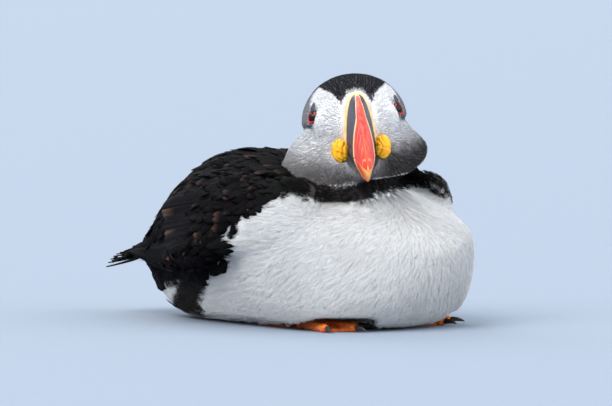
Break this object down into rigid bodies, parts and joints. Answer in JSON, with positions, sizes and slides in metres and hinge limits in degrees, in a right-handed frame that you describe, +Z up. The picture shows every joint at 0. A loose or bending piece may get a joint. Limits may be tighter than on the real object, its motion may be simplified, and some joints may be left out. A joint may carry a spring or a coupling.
{
  "type": "atlantic puffin",
  "caption": "Life-size Atlantic puffin resting on its belly, head turned to its right, with a deep striped bill, folded wings, short tail and webbed feet.",
  "frame": {"origin": "on the floor, at the middle of the flat the belly rests on", "axes": "+Z up, the bird's breast towards -Y and its tail towards +Y, its left side towards +X"},
  "size_m": [0.1154, 0.19, 0.1105],
  "materials": {
    "white_plumage": "soft matt feathers",
    "grey_plumage": "short velvety feathers",
    "black_plumage": "satin feathers",
    "red_horn": "polished horn",
    "orange_horn": "polished horn",
    "cream_border": "satin skin",
    "yellow_rosette": "folded satin skin",
    "dark_eye": "wet gloss",
    "red_eye_ring": "satin skin",
    "slate_plate": "matt horn",
    "orange_foot": "scaly satin skin",
    "black_claw": "polished horn"
  },
  "bodies": {
    "root": {"bill_border": "cream_border", "bill_lower": "orange_horn", "bill_upper": "red_horn", "claw_inner_left": "black_claw", "claw_inner_right": "black_claw", "claw_middle_left": "black_claw", "claw_middle_right": "black_claw", "claw_outer_left": "black_claw", "claw_outer_right": "black_claw", "eye_left": "dark_eye", "eye_plate_lower_left": "slate_plate", "eye_plate_lower_right": "slate_plate", "eye_plate_upper_left": "slate_plate", "eye_plate_upper_right": "slate_plate", "eye_right": "dark_eye", "eye_ring_left": "red_eye_ring", "eye_ring_right": "red_eye_ring", "foot_left": "orange_foot", "foot_right": "orange_foot", "head": "grey_plumage", "leg_left": "orange_foot", "leg_right": "orange_foot", "neck": "black_plumage", "rosette_left": "yellow_rosette", "rosette_right": "yellow_rosette", "tail": "black_plumage", "trunk": "white_plumage", "wing_left": "black_plumage", "wing_right": "black_plumage"}
  },
  "joints": []
}
